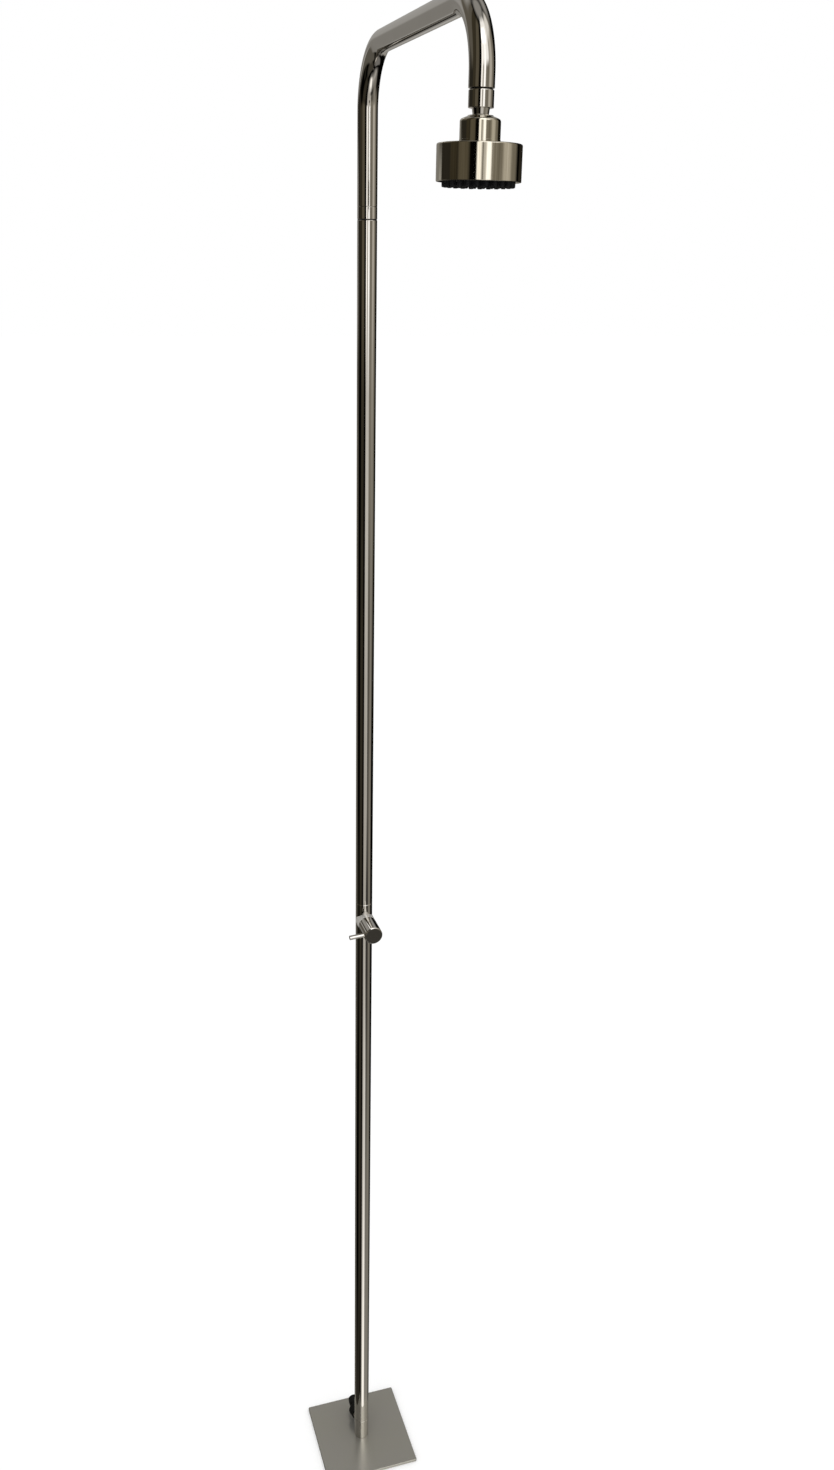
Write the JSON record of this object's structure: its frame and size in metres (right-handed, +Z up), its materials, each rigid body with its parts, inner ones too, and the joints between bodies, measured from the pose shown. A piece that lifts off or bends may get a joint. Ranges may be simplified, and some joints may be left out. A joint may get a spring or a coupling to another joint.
{
  "type": "outdoor shower post",
  "caption": "Free-standing outdoor shower: round steel post on a square plate, side-lever turn valve, gooseneck arm and a drum spray head on a ball joint, hose inlet at the foot.",
  "frame": {"origin": "centre of the square plate's underside, on the post's axis", "axes": "+Z up along the post; the arm, head and valve point to -Y; the hose inlet points to +Y; the valve's lever points to -X when shut"},
  "size_m": [0.16, 0.521, 2.25],
  "materials": {
    "steel_polished": "polished stainless steel",
    "steel_satin": "satin stainless steel",
    "steel_plate": "satin stainless sheet",
    "black_plastic": "fine-grained black plastic",
    "rubber": "smooth black rubber",
    "brass": "turned brass",
    "white_plastic": "white moulded plastic",
    "ceramic": "ground white ceramic"
  },
  "bodies": {
    "post": {"base_plate": "steel_plate", "foot_screw_1": "steel_satin", "foot_screw_2": "steel_satin", "foot_screw_3": "steel_satin", "foot_block": "steel_polished", "foot_o_ring": "rubber", "inlet_stub": "steel_satin", "inlet_washer": "rubber", "hose_connector": "black_plastic", "connector_o_ring": "rubber", "lower_tube": "steel_polished", "mid_tube": "steel_polished", "joint_ferrule": "steel_polished", "ferrule_o_ring_1": "rubber", "ferrule_o_ring_2": "rubber", "arm_tube": "steel_polished", "valve_body": "brass", "valve_body_o_ring_1": "rubber", "valve_body_o_ring_2": "rubber", "valve_body_o_ring_3": "rubber", "valve_boss": "steel_satin", "boss_screw": "steel_satin", "cartridge_seal": "rubber", "cartridge_body": "brass", "fixed_disc": "ceramic", "spindle_o_ring": "rubber", "outlet_nipple": "steel_satin", "outlet_washer": "rubber", "filter_screen": "steel_satin", "ball_fitting": "steel_polished", "flow_restrictor": "white_plastic"},
    "lever": {"valve_spindle": "brass", "turning_disc": "ceramic", "spindle_clip": "steel_satin", "valve_knob": "steel_polished", "lever_pin": "steel_polished", "knob_screw": "steel_satin"},
    "tilt_front": {"upper_ball_seat": "white_plastic"},
    "tilt_side": {"lower_ball_seat": "white_plastic", "ball_seal": "rubber"},
    "head": {"hub_nut": "steel_polished", "head_shell": "steel_polished", "back_plate": "white_plastic", "back_plate_o_ring": "rubber", "nozzle_mat": "rubber", "face_plate": "steel_polished", "face_screw_1": "steel_satin", "face_screw_2": "steel_satin", "face_screw_3": "steel_satin"}
  },
  "joints": [
    {"name": "lever_turn", "type": "hinge", "parent": "post", "child": "lever", "pos_m": [0, -0.04, 1.0635], "axis": [0, -1, 0], "range_deg": [0, 90]},
    {"name": "head_tilt_front", "type": "hinge", "parent": "post", "child": "tilt_front", "pos_m": [0, -0.4, 2.1245], "axis": [1, 0, 0], "range_deg": [-12, 12]},
    {"name": "head_tilt_side", "type": "hinge", "parent": "tilt_front", "child": "tilt_side", "pos_m": [0, -0.4, 2.1245], "axis": [0, 1, 0], "range_deg": [-12, 12]},
    {"name": "head_turn", "type": "hinge", "parent": "tilt_side", "child": "head", "pos_m": [0, -0.4, 2.1245], "axis": [0, 0, 1], "continuous": true}
  ]
}
